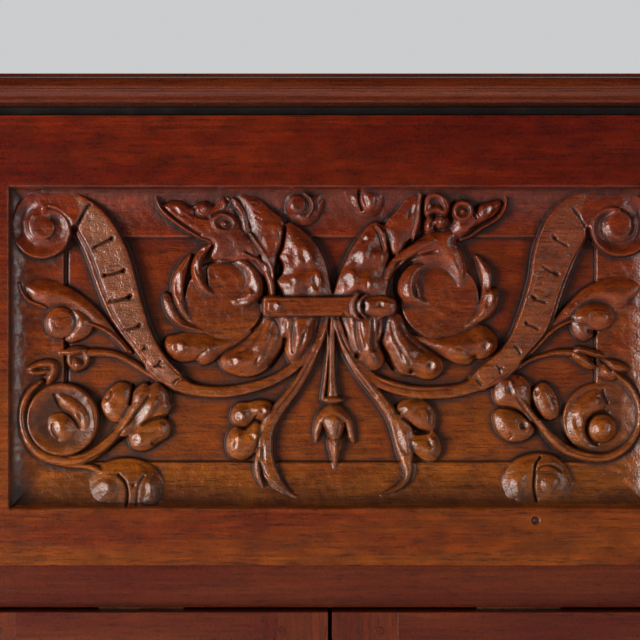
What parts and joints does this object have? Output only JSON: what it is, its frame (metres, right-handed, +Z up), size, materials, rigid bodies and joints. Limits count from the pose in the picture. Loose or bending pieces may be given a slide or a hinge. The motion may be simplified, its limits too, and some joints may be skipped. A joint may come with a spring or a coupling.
{
  "type": "cupboard",
  "caption": "Small joined wooden cupboard: a deep drawer with a carved, sunk-panel front over a pair of panelled doors, on turned feet.",
  "frame": {"origin": "on the floor, under the middle of the cupboard's overall footprint", "axes": "+Z up, -Y out of the front, +X to the right of someone who faces the front"},
  "size_m": [0.696, 0.4, 0.9095],
  "materials": {
    "carved_wood": "glossy varnish over dark patina",
    "ebonised_wood": "black stain, satin",
    "plain_wood": "bare, darkened by age",
    "brass": "aged",
    "iron": "dark, lightly oiled"
  },
  "bodies": {
    "carcase": {"top_board": "carved_wood", "ebonised_fillet": "ebonised_wood", "top_rail": "plain_wood", "front_left_post": "carved_wood", "front_right_post": "carved_wood", "rear_left_post": "carved_wood", "rear_right_post": "carved_wood", "plinth_rail": "carved_wood", "mid_rail": "carved_wood", "left_side_rails": "carved_wood", "right_side_rails": "carved_wood", "left_side_panels": "carved_wood", "right_side_panels": "carved_wood", "back_rails": "plain_wood", "back_boards": "plain_wood", "bottom_board": "plain_wood", "bottom_cleats": "plain_wood", "dust_panel": "plain_wood", "left_drawer_runner": "plain_wood", "right_drawer_runner": "plain_wood", "drawer_kickers": "plain_wood", "drawer_stops": "plain_wood", "shelf": "plain_wood", "shelf_bearers": "plain_wood", "door_stops": "plain_wood", "base_moulding": "carved_wood", "front_feet": "carved_wood", "rear_feet": "carved_wood", "frame_pegs": "carved_wood", "frame_hinge_leaves": "brass", "hinge_pins": "brass", "frame_hinge_screws": "brass"},
    "drawer": {"drawer_front": "carved_wood", "drawer_left_side": "plain_wood", "drawer_right_side": "plain_wood", "drawer_back": "plain_wood", "drawer_bottom": "plain_wood"},
    "left_door": {"left_door_hinge_stile": "carved_wood", "left_door_meeting_stile": "carved_wood", "left_door_rails": "carved_wood", "left_door_panel": "carved_wood", "left_door_moulding": "carved_wood", "left_door_hinge_leaves": "brass", "left_door_screws": "brass", "left_door_pegs": "carved_wood", "bolt_plate": "iron", "lock_keep": "iron"},
    "upright_bolt": {"bolt_bar": "iron"},
    "right_door": {"right_door_hinge_stile": "carved_wood", "right_door_meeting_stile": "carved_wood", "right_door_rails": "carved_wood", "right_door_panel": "carved_wood", "right_door_moulding": "carved_wood", "right_door_hinge_leaves": "brass", "right_door_screws": "brass", "right_door_pegs": "carved_wood", "lock_case": "iron", "escutcheon": "brass"},
    "bolt_of_lock": {"lock_bolt": "brass"},
    "key": {"door_key": "iron"}
  },
  "joints": [
    {"name": "drawer_slide", "type": "slide", "parent": "carcase", "child": "drawer", "axis": [0, -1, 0], "range_m": [0, 0.24]},
    {"name": "left_door_swing", "type": "hinge", "parent": "carcase", "child": "left_door", "pos_m": [-0.26725, -0.1732, 0.3335], "axis": [0, 0, -1], "range_deg": [0, 170]},
    {"name": "right_door_swing", "type": "hinge", "parent": "carcase", "child": "right_door", "pos_m": [0.26725, -0.1732, 0.3335], "axis": [0, 0, 1], "range_deg": [0, 170]},
    {"name": "upright_bolt_slide", "type": "slide", "parent": "left_door", "child": "upright_bolt", "axis": [0, 0, 1], "range_m": [0, 0.012]},
    {"name": "key_turn", "type": "hinge", "parent": "right_door", "child": "key", "pos_m": [0.026, -0.14, 0.326], "axis": [0, -1, 0], "range_deg": [0, 180]},
    {"name": "lock_bolt_throw", "type": "slide", "parent": "right_door", "child": "bolt_of_lock", "axis": [-1, 0, 0], "range_m": [0, 0.012]}
  ],
  "couplings": [
    {"joint": "lock_bolt_throw", "follows": "key_turn", "m_per_rad": 0.0038197}
  ]
}
